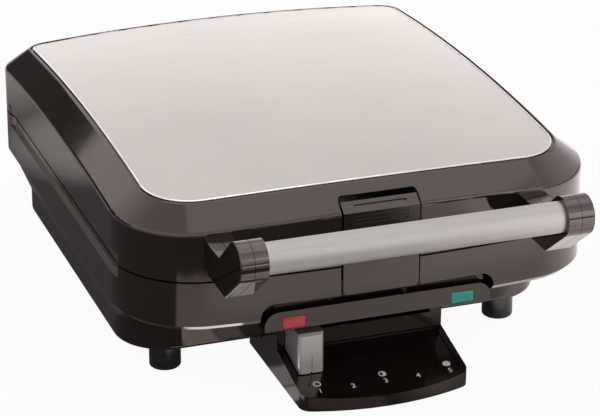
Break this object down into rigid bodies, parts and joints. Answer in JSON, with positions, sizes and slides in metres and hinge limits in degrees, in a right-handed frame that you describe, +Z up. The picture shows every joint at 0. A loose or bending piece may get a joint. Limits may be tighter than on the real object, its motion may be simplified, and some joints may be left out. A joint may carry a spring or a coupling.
{
  "type": "belgian waffle maker",
  "caption": "Square countertop belgian waffle maker: hinged domed lid with tube handle and rocking latch, cast waffle grids, tubular heaters and a sliding browning control.",
  "frame": {"origin": "on the surface that it stands on, below the middle of the whole object", "axes": "+Z up; -Y towards the front with the handle and the control tongue; +X to the right of someone who faces the front"},
  "size_m": [0.305, 0.4188, 0.1425],
  "materials": {
    "gloss_black": "polished moulding",
    "matt_black": "fine matt texture",
    "brushed_steel": "fine straight brushing",
    "grid_coating": "cast, dark non-stick coat",
    "pan_metal": "bright pressed sheet",
    "heater_sheath": "heat-darkened tube",
    "ceramic": "unglazed white ceramic",
    "foot_rubber": "matt",
    "plated_steel": "zinc plated",
    "silver_knob": "satin silver paint",
    "red_lens": "translucent",
    "green_lens": "translucent, ribbed",
    "lamp_glass": "clear",
    "nylon": "natural"
  },
  "bodies": {
    "base": {"base_housing": "gloss_black", "bottom_tray": "matt_black", "foot_front_left": "foot_rubber", "foot_front_right": "foot_rubber", "foot_rear_left": "foot_rubber", "foot_rear_right": "foot_rubber", "foot_screws": "plated_steel", "base_deck": "matt_black", "base_deck_screws": "plated_steel", "lower_grid": "grid_coating", "lower_grid_screws": "plated_steel", "lower_heating_element": "heater_sheath", "lower_element_bushes": "ceramic", "lower_reflector": "pan_metal", "console_housing": "gloss_black", "console_cover": "matt_black", "console_screws": "plated_steel", "power_lens": "red_lens", "ready_lens": "green_lens", "indicator_lamps": "lamp_glass", "latch_keeper": "plated_steel", "slide_rail": "plated_steel", "thermostat_body": "ceramic", "thermal_fuse": "plated_steel", "terminal_block": "ceramic", "cord_bushing": "foot_rubber", "hinge_bracket_left": "plated_steel", "hinge_bracket_right": "plated_steel", "hinge_pin_left": "plated_steel", "hinge_pin_right": "plated_steel", "hinge_bracket_screws": "plated_steel"},
    "lid": {"lid_housing": "gloss_black", "cover_plate": "brushed_steel", "lid_deck": "matt_black", "lid_deck_screws": "plated_steel", "upper_grid": "grid_coating", "upper_grid_screws": "plated_steel", "upper_heating_element": "heater_sheath", "upper_element_bushes": "ceramic", "upper_reflector": "pan_metal", "handle_tube": "brushed_steel", "handle_screws": "plated_steel", "handle_arm_left": "gloss_black", "handle_arm_right": "gloss_black", "handle_arm_cover_left": "gloss_black", "handle_arm_cover_right": "gloss_black", "latch_pin": "plated_steel", "latch_spring": "plated_steel", "hinge_arm_left": "plated_steel", "hinge_arm_right": "plated_steel", "hinge_arm_screws": "plated_steel"},
    "latch": {"latch_lever": "gloss_black"},
    "slider": {"browning_knob": "silver_knob", "slide_carriage": "matt_black"},
    "thermostat_drive": {"slide_pinion": "nylon", "thermostat_shaft": "plated_steel"}
  },
  "joints": [
    {"name": "lid_hinge", "type": "hinge", "parent": "base", "child": "lid", "pos_m": [0, 0.20295, 0.0877], "axis": [-1, 0, 0], "range_deg": [0, 100]},
    {"name": "latch_rock", "type": "hinge", "parent": "lid", "child": "latch", "pos_m": [0, -0.13655, 0.106], "axis": [-1, 0, 0], "range_deg": [-3, 10], "stiffness_Nm_per_rad": 0.4},
    {"name": "browning_slide", "type": "slide", "parent": "base", "child": "slider", "axis": [1, 0, 0], "range_m": [0, 0.0824]},
    {"name": "pinion_spin", "type": "hinge", "parent": "base", "child": "thermostat_drive", "pos_m": [0, -0.08018, 0.0466], "axis": [0, 0, 1], "range_deg": [-1, 288]}
  ],
  "couplings": [
    {"joint": "pinion_spin", "follows": "browning_slide", "rad_per_m": 60.606}
  ]
}
